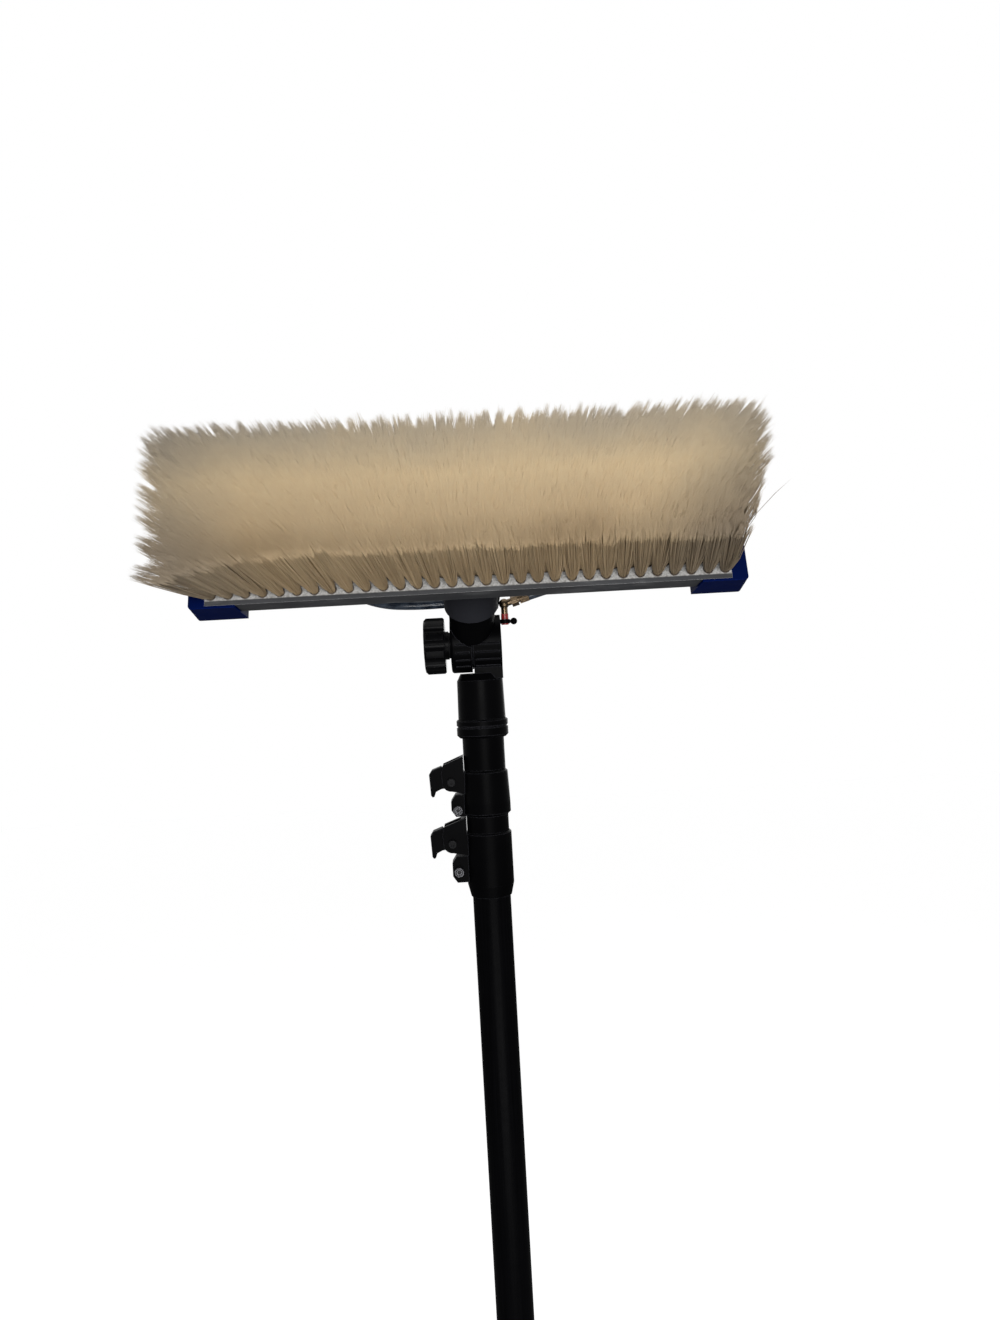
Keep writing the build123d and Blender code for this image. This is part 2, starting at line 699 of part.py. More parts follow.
def hinge_spigot():
    """Upper half of the tilting joint: a disc on the knob's side and a round spigot."""
    joint_face = ear_left - joint_washer - 2 * joint_face_gap
    with BuildPart() as piece:
        with BuildSketch(Plane.YZ.offset(joint_face)):
            with Locations((0, hinge_height)):
                Circle(knuckle_radius)
        extrude(amount=knuckle_left - joint_face)
        fillet(piece.faces().sort_by(Axis.X)[0].edges(), knuckle_round)
        with BuildSketch(Plane.YZ.offset(joint_face - rib_inset)):
            with Locations(*rib_spots()):
                Circle(rib_height)
        extrude(amount=knuckle_left + knuckle_round - joint_face + 2 * rib_inset)
        with BuildSketch(spigot_plane):
            Circle(spigot_radius)
        extrude(amount=spigot_length)
        chamfer(piece.faces().sort_by(Axis(spigot_root, spigot_dir))[-1].edges(), spigot_bevel)
        with BuildSketch(Plane.YZ.offset(joint_face)):
            with Locations((0, hinge_height)):
                Circle(joint_clear)
        extrude(amount=2 * knuckle_radius, mode=Mode.SUBTRACT)
        with BuildSketch(spigot_plane.offset(knuckle_radius + spigot_floor)):
            Circle(spigot_bore)
        extrude(amount=spigot_length, mode=Mode.SUBTRACT)
        with BuildSketch(Plane.YZ.offset(knuckle_left)):
            with Locations((0, hinge_height)):
                Circle(hinge_bolt_radius + running_fit)
        extrude(amount=joint_face - knuckle_left, mode=Mode.SUBTRACT)
    keep("hinge_spigot", piece)


def rib_spots():
    """Centres of the low ribs across both knuckles, on their lower front."""
    turns = [radians(rib_first + rib_step * step) for step in range(rib_count)]
    return [(cos(turn) * knuckle_radius, hinge_height + sin(turn) * knuckle_radius) for turn in turns]


# ================= brush =================
def tuft_places(row):
    """Tuft positions of one row in the block's own plane, with each tip's offset."""
    far = row / (tuft_rows - 1)
    near = (1 - far) ** 2
    shift = 0 if row % 2 == 0 else 0.5
    count = tuft_columns if row % 2 == 0 else tuft_columns - 1
    places = []
    for index in range(count):
        column = index - last_column + shift
        if row == jet_row and abs(column) == jet_column:
            continue
        side = column / last_column
        lean_x = end_lean * side - near * (side_sweep + right_hold * max(side, 0))
        lean_w = near_lean + (far_lean - near_lean) * far - corner_lean * near * max(-side, 0) ** 2
        places.append((column * tuft_pitch, row_y(row), lean_x, lean_w))
    return places


def row_y(row):
    return -block_width / 2 + row_margin + row * row_gap


def brush_block():
    with BuildPart() as block:
        with BuildSketch(block_plane):
            Rectangle(block_length, block_width)
        extrude(amount=block_thickness)
        holes = [(x, y) for row in range(tuft_rows) for x, y, _, _ in tuft_places(row)]
        with BuildSketch(face_plane):
            with Locations(*holes):
                Circle(hole_radius)
        extrude(amount=-hole_depth, mode=Mode.SUBTRACT)
        with BuildSketch(block_plane):
            with Locations(*jet_spots()):
                Circle(jet_radius + fixed_fit)
        extrude(amount=block_thickness, mode=Mode.SUBTRACT)
    keep("brush_block", block)


def jet_spots():
    return [(side * jet_column * tuft_pitch, row_y(jet_row)) for side in (-1, 1)]


def tuft_rows_made():
    for row in range(tuft_rows):
        with BuildPart() as tufts:
            for x, y, lean_x, lean_w in tuft_places(row):
                with BuildSketch(face_plane.offset(-hole_depth)):
                    with Locations((x, y)):
                        Circle(tuft_root_radius)
                extrude(amount=hole_depth)
                with BuildSketch(face_plane):
                    with Locations((x, y)):
                        Circle(tuft_root_radius)
                with BuildSketch(tip_plane):
                    with Locations((x + lean_x, y + lean_w)):
                        Circle(tuft_tip_radius)
                loft()
        keep(f"tuft_row_{row + 1:02d}", tufts)


def bumpers():
    """Rubber end caps: a thick end, thin wings along both sides and a lip under the block."""
    outside = brush_length / 2
    wing_foot = outside - bumper_wing
    wing_top = wing_foot + bumper_slant
    side_plane = Plane(origin=block_back, x_dir=(1, 0, 0), z_dir=-across_dir)
    for side, name in ((-1, "bumper_left"), (1, "bumper_right")):
        with BuildPart() as bumper:
            with BuildSketch(side_plane):
                Polygon((side * wing_foot, -bumper_below), (side * outside, -bumper_below),
                        (side * outside, block_thickness), (side * wing_top, block_thickness), align=None)
            extrude(amount=block_width / 2 + bumper_side, both=True)
            corners = bumper.edges().filter_by(Axis(block_back, bristle_dir))
            fillet(corners.group_by(Axis.X)[-1 if side > 0 else 0], bumper_round)
            with BuildSketch(block_plane.offset(-fixed_fit)):
                Rectangle(block_length + 2 * fixed_fit, block_width + 2 * fixed_fit)
            extrude(amount=block_thickness + cut_lap, mode=Mode.SUBTRACT)
            with BuildSketch(block_plane.offset(-bumper_below)):
                with Locations(*bumper_screw_spots(side)):
                    Circle(bolt_radius + fixed_fit)
            extrude(amount=bumper_below, mode=Mode.SUBTRACT)
        keep(name, bumper)


def bumper_screw_spots(side):
    return [(side * (brush_length / 2 - bumper_screw_inset), row * screw_row) for row in (-1, 1)]


def bumper_screws():
    seat = block_plane.offset(-bumper_below)
    spots = bumper_screw_spots(-1) + bumper_screw_spots(1)
    with BuildPart() as screws:
        with BuildSketch(seat):
            with Locations(*spots):
                Circle(2 * bolt_radius)
        extrude(amount=-plate_head_height)
        with BuildSketch(seat):
            with Locations(*spots):
                Circle(bolt_radius)
        extrude(amount=bumper_below - fixed_fit)
    keep("bumper_screws", screws)


def socket_boss():
    """Angled socket on the block's back that takes the spigot."""
    length, width, thickness = boss_plate
    rim = spigot_plane.offset(boss_rim)
    seat = block_plane.offset(-thickness)
    half_rib = width / 2 - boss_rib_inset
    rib_foot = block_back - bristle_dir * (thickness / 2)
    rib_low = rib_foot - across_dir * half_rib
    rib_high = rib_foot + across_dir * half_rib
    rib_stem = spigot_root + spigot_dir * (boss_rim + boss_rib_top)
    with BuildPart() as boss:
        with BuildSketch(rim):
            Circle(boss_radius)
        extrude(amount=brush_reach)
        split(bisect_by=block_plane, keep=Keep.BOTTOM)
        with BuildSketch(seat):
            Rectangle(length, width)
        extrude(amount=thickness)
        fillet(boss.edges().filter_by(Axis(block_back, bristle_dir)), boss_plate_round)
        for side in (-1, 1):
            rib_middle = spigot_offset + side * (boss_radius - boss_rib)
            with BuildSketch(Plane.YZ.offset(rib_middle - boss_rib / 2)):
                Polygon(*[(point.Y, point.Z) for point in (rib_low, rib_high, rib_stem)], align=None)
            extrude(amount=boss_rib)
        with BuildSketch(rim):
            Circle(spigot_radius + fixed_fit)
        extrude(amount=spigot_length - boss_rim + spigot_end_gap, mode=Mode.SUBTRACT)
        with BuildSketch(seat):
            with GridLocations(*boss_screw_grid, 2, 2):
                Circle(bolt_radius + fixed_fit)
        extrude(amount=thickness, mode=Mode.SUBTRACT)
    keep("socket_boss", boss)
    with BuildPart() as screws:
        with BuildSketch(seat):
            with GridLocations(*boss_screw_grid, 2, 2):
                Circle(bolt_radius)
        extrude(amount=thickness - fixed_fit)
        with BuildSketch(seat):
            with GridLocations(*boss_screw_grid, 2, 2):
                Circle(2 * bolt_radius)
        extrude(amount=-plate_head_height)
    keep("boss_screws", screws)


# ================= water feed =================
def route_points(route):
    return [hinge_point + Vector(*point) for point in route]


def hose(name, route):
    """Hose along straight runs joined by tangent arcs."""
    points = route_points(route)
    radii = []
    for before, point, after in zip(points, points[1:], points[2:]):
        turn = radians((point - before).get_angle(after - point))
        run = min((point - before).length, (after - point).length)
        radii.append(arc_share * run / tan(turn / 2))
    print(name, "radii", [round(radius, 1) for radius in radii])
    with BuildPart() as piece:
        with BuildLine() as path:
            FilletPolyline(*points, radius=radii)
        with BuildSketch(Plane(origin=points[0], z_dir=points[1] - points[0])):
            Circle(hose_diameter / 2)
        sweep()
    length = sum(edge.length for edge in path.edges())
    print(name, "length", round(length, 1), "volume ratio",
          round(piece.part.volume / (length * pi * hose_diameter ** 2 / 4), 4))
    keep(name, piece)


def jets():
    """Elbows behind the block, each with a jet through it to the bristle face."""
    for side, name, route in ((-1, "jet_left", hose_left_route), (1, "jet_right", hose_right_route)):
        spot = (side * jet_column * tuft_pitch, row_y(jet_row))
        end = route_points(route)[-1]
        back = (route_points(route)[-2] - end).normalized()
        centre = block_plane.from_local_coords(Vector(*spot, -elbow_drop))
        with BuildPart() as jet:
            with BuildSketch(Plane(origin=end, z_dir=-back)):
                Circle(elbow_collar)
            extrude(amount=(centre - end).length)
            with Locations(Location(centre)):
                Sphere(elbow_radius)
            with BuildSketch(block_plane):
                with Locations(spot):
                    Circle(elbow_radius)
            extrude(amount=-elbow_drop)
            with BuildSketch(block_plane):
                with Locations(spot):
                    Circle(jet_radius)
            extrude(amount=block_thickness + jet_standing)
        keep(name, jet)


def elbow_centre():
    """Middle of the brass elbow: back along the right hose's first run, clear of the joint's ear."""
    start, second = route_points(hose_right_route)[:2]
    along = (second - start).normalized()
    reach = (start.X - ear_right - clip_side_gap - clip_radius) / along.X
    return start - along * reach


def feed_tee():
    """Black tee behind the spigot, on a saddle: the left hose on one side, the elbow on the other."""
    left = route_points(hose_left_route)
    centre = elbow_centre()
    port = Plane(origin=left[0], z_dir=left[0] - left[1])
    from_axis = centre - spigot_root
    along = from_axis.dot(spigot_dir)
    off_axis = from_axis.dot(spigot_plane.y_dir)
    with BuildPart() as tee:
        inside = left[0] + port.z_dir * (1.5 * tee_radius)
        with BuildSketch(Plane(origin=inside, z_dir=centre - inside)):
            Circle(tee_radius)
        extrude(amount=(centre - inside).length - elbow_body)
        with BuildSketch(port):
            Circle(tee_radius)
        extrude(amount=2 * tee_radius)
        with BuildSketch(spigot_plane.offset(along - tee_radius)):
            with Locations((left[0].X - spigot_root.X + tee_saddle_inset, 0)):
                Rectangle(tee_saddle[0], off_axis, align=(Align.MIN, Align.MIN))
        extrude(amount=tee_saddle[1])
        with BuildSketch(spigot_plane):
            Circle(spigot_radius + fixed_fit)
        extrude(amount=spigot_length, mode=Mode.SUBTRACT)
        with BuildSketch(Plane.YZ.offset(knuckle_left)):
            with Locations((0, hinge_height)):
                Circle(joint_clear)
        extrude(amount=2 * knuckle_radius, mode=Mode.SUBTRACT)
        with Locations(centre):
            Sphere(elbow_body + fixed_fit, mode=Mode.SUBTRACT)
    keep("feed_tee", tee)


def brass_elbow():
    """Brass elbow with a hexagon and a knurled nut towards the right hose, and a neck downwards."""
    centre = elbow_centre()
    start = route_points(hose_right_route)[0]
    out = (start - centre).normalized()
    hexagon = Plane(origin=centre + out * hexagon_start, z_dir=out)
    nut = Plane(origin=start - out * nut_length, z_dir=out)
    with BuildPart() as elbow:
        with Locations(centre):
            Sphere(elbow_body)
        with BuildSketch(Plane(origin=centre, z_dir=out)):
            Circle(elbow_neck)
        extrude(amount=(start - centre).length)
        with BuildSketch(hexagon):
            RegularPolygon(coupling_flats / 2, 6, major_radius=False)
        extrude(amount=hexagon_length)
        with BuildSketch(nut):
            Circle(coupling_flats / 2)
        extrude(amount=nut_length)
        chamfer(elbow.faces().sort_by(Axis(centre, out))[-1].edges(), nut_bevel)
        with BuildSketch(nut):
            with PolarLocations(coupling_flats / 2, nut_grooves):
                Circle(nut_groove_radius)
        extrude(amount=nut_length, mode=Mode.SUBTRACT)
        with BuildSketch(Plane(origin=centre, z_dir=(0, 0, -1))):
            Circle(elbow_neck)
        extrude(amount=elbow_drop_below)
    keep("brass_elbow", elbow)


def inlet_collar():
    """Push-fit release collar on the elbow's neck, open at the foot for the supply tube."""
    top = elbow_centre() - Vector(0, 0, elbow_drop_below)
    with BuildPart() as collar:
        with BuildSketch(Plane(origin=top, z_dir=(0, 0, -1))):
            Circle(collar_radius)
            Circle(collar_bore, mode=Mode.SUBTRACT)
        extrude(amount=collar_length)
        mouth_edges = collar.edges().filter_by(GeomType.CIRCLE).group_by(Axis.Z)[0]
        chamfer(mouth_edges.sort_by(SortBy.RADIUS)[-1], collar_bevel_foot)
    keep("inlet_collar", collar)


def inlet_clip():
    """Small clip round the release collar with a ball-headed screw."""
    foot = elbow_centre() - Vector(0, 0, elbow_drop_below + collar_length - clip_above_mouth)
    middle = foot + Vector(0, 0, clip_height / 2)
    with BuildPart() as clip:
        with BuildSketch(Plane(origin=foot)):
            Circle(clip_radius)
            Circle(collar_radius + fixed_fit, mode=Mode.SUBTRACT)
        extrude(amount=clip_height)
        with BuildSketch(Plane(origin=middle + Vector(clip_radius - clip_stem_lap, 0, 0), z_dir=(1, 0, 0))):
            Circle(clip_stem_radius)
        extrude(amount=clip_stem_length)
        with Locations(middle + Vector(clip_radius + clip_ball_gap + clip_ball_radius, 0, 0)):
            Sphere(clip_ball_radius)
    keep("inlet_clip", clip)


pole_tubes()
butt_cap()
clamps()
neck_and_ring()
hinge_socket()
socket_screws()
hinge_hardware()
knob()
hinge_spigot()
brush_block()
tuft_rows_made()
bumpers()
bumper_screws()
socket_boss()
hose("hose_right", hose_right_route)
hose("hose_left", hose_left_route)
jets()
feed_tee()
brass_elbow()
inlet_collar()
inlet_clip()
print(len(made), "nodes, tilt axis at", round(hinge_height, 2))
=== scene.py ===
"""Looks of the window cleaning pole: a wide brush on a tilting adapter and a telescopic pole.

Metres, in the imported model's frame: +Z up the pole, bristles towards -Y, levers and knob on -X.
"""

import json
import math

import bpy
import numpy as np
from mathutils import Matrix, Vector


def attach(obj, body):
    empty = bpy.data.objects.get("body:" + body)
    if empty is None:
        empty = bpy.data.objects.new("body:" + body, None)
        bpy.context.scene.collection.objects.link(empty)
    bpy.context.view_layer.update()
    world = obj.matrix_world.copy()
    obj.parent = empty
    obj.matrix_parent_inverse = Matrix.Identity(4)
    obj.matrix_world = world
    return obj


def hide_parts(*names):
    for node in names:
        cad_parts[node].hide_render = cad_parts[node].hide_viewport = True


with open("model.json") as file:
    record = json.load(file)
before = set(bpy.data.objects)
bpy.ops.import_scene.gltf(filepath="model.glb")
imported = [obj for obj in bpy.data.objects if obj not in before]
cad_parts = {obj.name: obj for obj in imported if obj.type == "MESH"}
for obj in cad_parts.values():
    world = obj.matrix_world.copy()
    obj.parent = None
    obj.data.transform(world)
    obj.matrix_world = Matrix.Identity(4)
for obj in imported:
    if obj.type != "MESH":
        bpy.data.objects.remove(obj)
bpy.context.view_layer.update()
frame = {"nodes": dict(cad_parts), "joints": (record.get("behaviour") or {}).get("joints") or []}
nodes = frame["nodes"]
tilt_axis = Vector(next(j["pos_m"] for j in frame["joints"] if j["name"] == "brush_tilt"))
rng = np.random.default_rng(7)

# ---- the brush, as in the model ----
SPIGOT_ANGLE = math.radians(45)     # both angles are from +Z towards -Y
BRUSH_ANGLE = math.radians(72)
SPIGOT_OFFSET = -0.004
BRUSH_REACH = 0.126         # tilt axis to the block's back, along the spigot
BLOCK_THICKNESS = 0.015
BLOCK_WIDTH = 0.112
HOLE_RADIUS = 0.00355
TUFT_COLUMNS = 31           # every second row has one tuft fewer
TUFT_ROWS = 12              # counted from the near row, the lowest
TUFT_PITCH = 0.0138
ROW_GAP = 0.0086
ROW_MARGIN = 0.0087
BRISTLE_LENGTH = 0.070
JET_COLUMN = 10
JET_ROW = 8

# ---- lean of the tufts: how far their tips stand aside from their holes, set against the photograph ----
END_LEAN = 0.0245           # outwards at both ends
SIDE_SWEEP = 0.006          # near rows towards -X
RIGHT_HOLD = 0.022          # near rows held upright towards +X
LEFT_SPREAD = 0.006         # far rows further out at the -X end
NEAR_LEAN = 0.015           # upwards, in the near row
FAR_LEAN = 0.014            # upwards, in the far row
NEAR_SLANT = 0.0025         # near tips stand further up towards -X
CORNER_LEAN = 0.022         # near tips in the -X corner hang down by this much
CORNER_POWER = 6            # a higher power keeps that to fewer tufts
NEAR_ROWS = 2               # the tips of these rows stand a little unevenly
NEAR_UNEVEN = 0.0009
NEAR_TRIM = 0.07            # near row is shorter by this share
TUFT_SCATTER = 0.0007

# ---- bristle filaments ----
FILAMENTS = (14, 9)         # along and across each tuft
FILAMENT_RADIUS = 0.00030
ROOT_SPREAD = 0.0030        # radius of a tuft's filaments at the hole
ROOT_DEPTH = 0.006
ROOT_HOLD = 0.105           # a tuft stays narrow over this share of its length
TIP_OVERLAP = 1.32          # tips of a tuft fill its share of the field, and this much more
SPREAD_POWER = 0.4
BEND_POWER = 1.12
WISPS = 7                   # tips of a tuft draw together into this many points
WISP_PULL = 0.20
WISP_REACH = 0.015          # scatter of the wisps' length
NEAR_REACH = 0.025          # the same in the near rows
EDGE_WISPS = 14             # the outermost tufts end in more and sharper points
EDGE_PULL = 0.72
EDGE_REACH = 0.036
EDGE_OVERLAP = 1.3          # and fill this much more of the field
TIP_SCATTER = 0.0005
LENGTH_SCATTER = 0.012
SPLIT_START = 0.72          # share of the length at which the fine hairs part from a filament
SPLIT_HAIRS = 3
SPLIT_SPLAY = 0.0012
FILAMENT_STEPS = (-ROOT_DEPTH / BRISTLE_LENGTH, 0.0, 0.08, 0.32, SPLIT_START, 1.0)
FILAMENT_TAPER = (1.0, 1.0, 1.0, 0.95, 0.85)
HAIR_STEPS = (SPLIT_START, 1.0)
HAIR_TAPER = (0.62,)
STRAYS = 0.012              # share of filaments that stand out
STRAY_SCATTER = 9.0         # their tips scatter this many times wider
STRAY_REACH = 0.05
LONG_HAIR_ROW = 2           # one long hair stands out at the +X end of this row
LONG_HAIR_LEAN = (0.026, 0.010)
LONG_HAIR_BEND = 1.3

# ---- the block's face ----
SHADED_NEAR_EDGE = 0.0036       # painted shade: a dark margin along the near edge of the face
NEAR_SHADE_FADE = 0.0008
HOLE_SHADE_FULL = 0.0004           # painted shade: a dark ring round each hole, full out to this far, gone at the next
HOLE_SHADE_END = 0.0010

# ---- stage ----
WORLD_LIGHT = 0.11
FLOOR_REACH = 9.0
FLOOR_GLOW = 0.91           # added where the camera sees the floor, so that it looks white

spigot_dir = Vector((0, -math.sin(SPIGOT_ANGLE), math.cos(SPIGOT_ANGLE)))
bristle_dir = Vector((0, -math.sin(BRUSH_ANGLE), math.cos(BRUSH_ANGLE)))
across_dir = Vector((0, math.cos(BRUSH_ANGLE), math.sin(BRUSH_ANGLE)))
block_back = tilt_axis + Vector((SPIGOT_OFFSET, 0, 0)) + spigot_dir * BRUSH_REACH
block_axes = np.array([(1, 0, 0), tuple(across_dir), tuple(bristle_dir)])


# ================= camera =================
CAMERA_PLACE = Vector((0.0007, -0.9012, 1.4862))
CAMERA_YAW = math.radians(1.201)
CAMERA_PITCH = math.radians(-0.337)
CAMERA_ROLL = math.radians(-3.186)
IMAGE_WIDTH = 1000
FOCAL_PIXELS = 973.8
SENSOR_WIDTH = 36.0


def make_camera():
    data = bpy.data.cameras.new("camera")
    data.sensor_fit = "HORIZONTAL"
    data.sensor_width = SENSOR_WIDTH
    data.lens = SENSOR_WIDTH * FOCAL_PIXELS / IMAGE_WIDTH
    level = math.cos(CAMERA_PITCH)
    forward = Vector((math.sin(CAMERA_YAW) * level, math.cos(CAMERA_YAW) * level, math.sin(CAMERA_PITCH)))
    right = forward.cross(Vector((0, 0, 1))).normalized()
    up = right.cross(forward)
    rolled_right = right * math.cos(CAMERA_ROLL) + up * math.sin(CAMERA_ROLL)
    rolled_up = up * math.cos(CAMERA_ROLL) - right * math.sin(CAMERA_ROLL)
    turn = Matrix((rolled_right, rolled_up, -forward)).transposed().to_4x4()
    camera = bpy.data.objects.new("camera", data)
    camera.matrix_world = Matrix.Translation(CAMERA_PLACE) @ turn
    bpy.context.scene.collection.objects.link(camera)
    bpy.context.scene.camera = camera


# ================= node helpers =================
def start_material(name):
    material = bpy.data.materials.new(name)
    material.use_nodes = True
    tree = material.node_tree
    return material, tree, tree.nodes["Principled BSDF"]


def add_node(tree, kind, **settings):
    node = tree.nodes.new(kind)
    for key, value in settings.items():
        setattr(node, key, value)
    return node


def noise(tree, scale, detail=3.0, roughness=0.5, stretch=None):
    """Noise over the object's own coordinates, in cells per metre; stretch scales X, Y and Z."""
    place = add_node(tree, "ShaderNodeTexCoord").outputs["Object"]
    if stretch:
        mapping = add_node(tree, "ShaderNodeMapping")
        mapping.inputs["Scale"].default_value = stretch
        tree.links.new(place, mapping.inputs["Vector"])
        place = mapping.outputs["Vector"]
    texture = add_node(tree, "ShaderNodeTexNoise")
    tree.links.new(place, texture.inputs["Vector"])
    texture.inputs["Scale"].default_value = scale
    texture.inputs["Detail"].default_value = detail
    texture.inputs["Roughness"].default_value = roughness
    return texture.outputs["Fac"]


def ramp(tree, factor, stops):
    """Colour ramp with (position, colour) stops."""
    node = add_node(tree, "ShaderNodeValToRGB")
    elements = node.color_ramp.elements
    while len(elements) < len(stops):
        elements.new(0.5)
    for element, (position, colour) in zip(elements, stops):
        element.position = position
        element.color = (*colour, 1.0)
    tree.links.new(factor, node.inputs["Fac"])
    return node.outputs["Color"]


def remap(tree, value, low, high):
    """Spreads the middle of a noise's range over low to high."""
    node = add_node(tree, "ShaderNodeMapRange")
    node.inputs["From Min"].default_value = 0.3
    node.inputs["From Max"].default_value = 0.7
    node.inputs["To Min"].default_value = low
    node.inputs["To Max"].default_value = high
    tree.links.new(value, node.inputs["Value"])
    return node.outputs["Result"]


def mix(tree, factor, first, second):
    """Mixes two colours; factor, first and second are sockets or plain values."""
    node = add_node(tree, "ShaderNodeMix", data_type="RGBA")
    for socket, value in ((node.inputs[0], factor), (node.inputs[6], first), (node.inputs[7], second)):
        if isinstance(value, bpy.types.NodeSocket):
            tree.links.new(value, socket)
        else:
            socket.default_value = (*value, 1.0) if isinstance(value, tuple) else value
    return node.outputs[2]


def shade(colour, factor):
    return tuple(min(1.0, channel * factor) for channel in colour)


def rounded_edges(tree, radius):
    """Bevelled normal, and a mask that is 1 on edges, where a painted highlight goes."""
    bevel = add_node(tree, "ShaderNodeBevel", samples=4)
    bevel.inputs["Radius"].default_value = radius
    geometry = add_node(tree, "ShaderNodeNewGeometry")
    dot = add_node(tree, "ShaderNodeVectorMath", operation="DOT_PRODUCT")
    tree.links.new(bevel.outputs["Normal"], dot.inputs[0])
    tree.links.new(geometry.outputs["Normal"], dot.inputs[1])
    painted_light = add_node(tree, "ShaderNodeMapRange")
    painted_light.inputs["From Min"].default_value = 0.995
    painted_light.inputs["From Max"].default_value = 0.86
    tree.links.new(dot.outputs["Value"], painted_light.inputs["Value"])
    return bevel.outputs["Normal"], painted_light.outputs["Result"]


def bump(tree, height, strength, distance, normal=None):
    node = add_node(tree, "ShaderNodeBump")
    node.inputs["Strength"].default_value = strength
    node.inputs["Distance"].default_value = distance
    tree.links.new(height, node.inputs["Height"])
    if normal is not None:
        tree.links.new(normal, node.inputs["Normal"])
    return node.outputs["Normal"]


# ================= materials =================
def moulded(name, colour, roughness, grain=900.0, grain_depth=0.00005, edge=0.0005, edge_highlight=1.5,
            metallic=0.0, specular=0.5):
    """Moulded or machined surface: broad tone drift, fine grain in the bump, softened edges painted lighter
    as a highlight.
    """
    material, tree, shader = start_material(name)
    normal, painted_light = rounded_edges(tree, edge)
    drift = [(0.3, shade(colour, 0.86)), (0.7, shade(colour, 1.14))]
    broad = ramp(tree, noise(tree, 22.0, 4.0), drift)
    specks = noise(tree, grain, 2.0)
    grained = mix(tree, remap(tree, specks, 0.0, 0.35), broad, shade(colour, 0.82))
    # painted highlight: edges are mixed towards a lighter copy of the colour
    tree.links.new(mix(tree, painted_light, grained, shade(colour, edge_highlight)), shader.inputs["Base Color"])
    sheen = remap(tree, noise(tree, 60.0, 5.0), roughness - 0.06, roughness + 0.08)
    tree.links.new(sheen, shader.inputs["Roughness"])
    tree.links.new(bump(tree, specks, 0.35, grain_depth, normal), shader.inputs["Normal"])
    shader.inputs["Metallic"].default_value = metallic
    shader.inputs["Specular IOR Level"].default_value = specular
    return material


def tube_material(name):
    """Black drawn tube: fine lengthwise drawing lines, light scuffs across."""
    colour = (0.0010, 0.0010, 0.0012)
    material, tree, shader = start_material(name)
    lines = noise(tree, 900.0, 3.0, stretch=(1.0, 1.0, 0.012))
    scuffs = noise(tree, 45.0, 6.0, 0.65, stretch=(1.0, 1.0, 2.6))
    toned = mix(tree, remap(tree, lines, 0.0, 1.0), colour, shade(colour, 1.9))
    tree.links.new(toned, shader.inputs["Base Color"])
    tree.links.new(remap(tree, scuffs, 0.26, 0.40), shader.inputs["Roughness"])
    tree.links.new(bump(tree, lines, 0.12, 0.00004), shader.inputs["Normal"])
    shader.inputs["Specular IOR Level"].default_value = 0.014
    return material


def hose_material(name):
    """Blue-grey tube: dark, glossy, a little clear, with paler streaks painted as highlights."""
    material, tree, shader = start_material(name)
    streaks = noise(tree, 120.0, 4.0)
    # painted highlight: paler streaks mixed into the hose's colour
    painted_highlight_tint = ramp(tree, streaks, [(0.35, (0.012, 0.018, 0.030)), (0.65, (0.055, 0.070, 0.095))])
    tree.links.new(painted_highlight_tint, shader.inputs["Base Color"])
    tree.links.new(remap(tree, streaks, 0.08, 0.2), shader.inputs["Roughness"])
    shader.inputs["Transmission Weight"].default_value = 0.15
    shader.inputs["IOR"].default_value = 1.45
    shader.inputs["Specular IOR Level"].default_value = 0.3
    shader.inputs["Coat Weight"].default_value = 0.15
    return material


# Painted shade on the bristles, greyer or browner towards the near and far rows, the ends and the lower
# corners:
# full, how strong it is there, and its colour.
PAINTED_SHADE = [
    ((0.0, -1.0), -0.015, 0.035, 0.80, (0.58, 0.43, 0.25)),
    ((0.0, -1.0), 0.016, 0.036, 0.45, (0.42, 0.31, 0.19)),
    ((0.0, 1.0), 0.018, 0.072, 0.80, (0.47, 0.435, 0.385)),
    ((1.0, 0.0), 0.150, 0.240, 0.45, (0.47, 0.42, 0.35)),
    ((-1.0, 0.0), 0.165, 0.275, 0.80, (0.44, 0.39, 0.33)),
    ((1.0, -1.2), 0.150, 0.260, 0.95, (0.25, 0.20, 0.145)),
    ((-1.0, -1.2), 0.200, 0.290, 0.60, (0.33, 0.28, 0.22)),
]


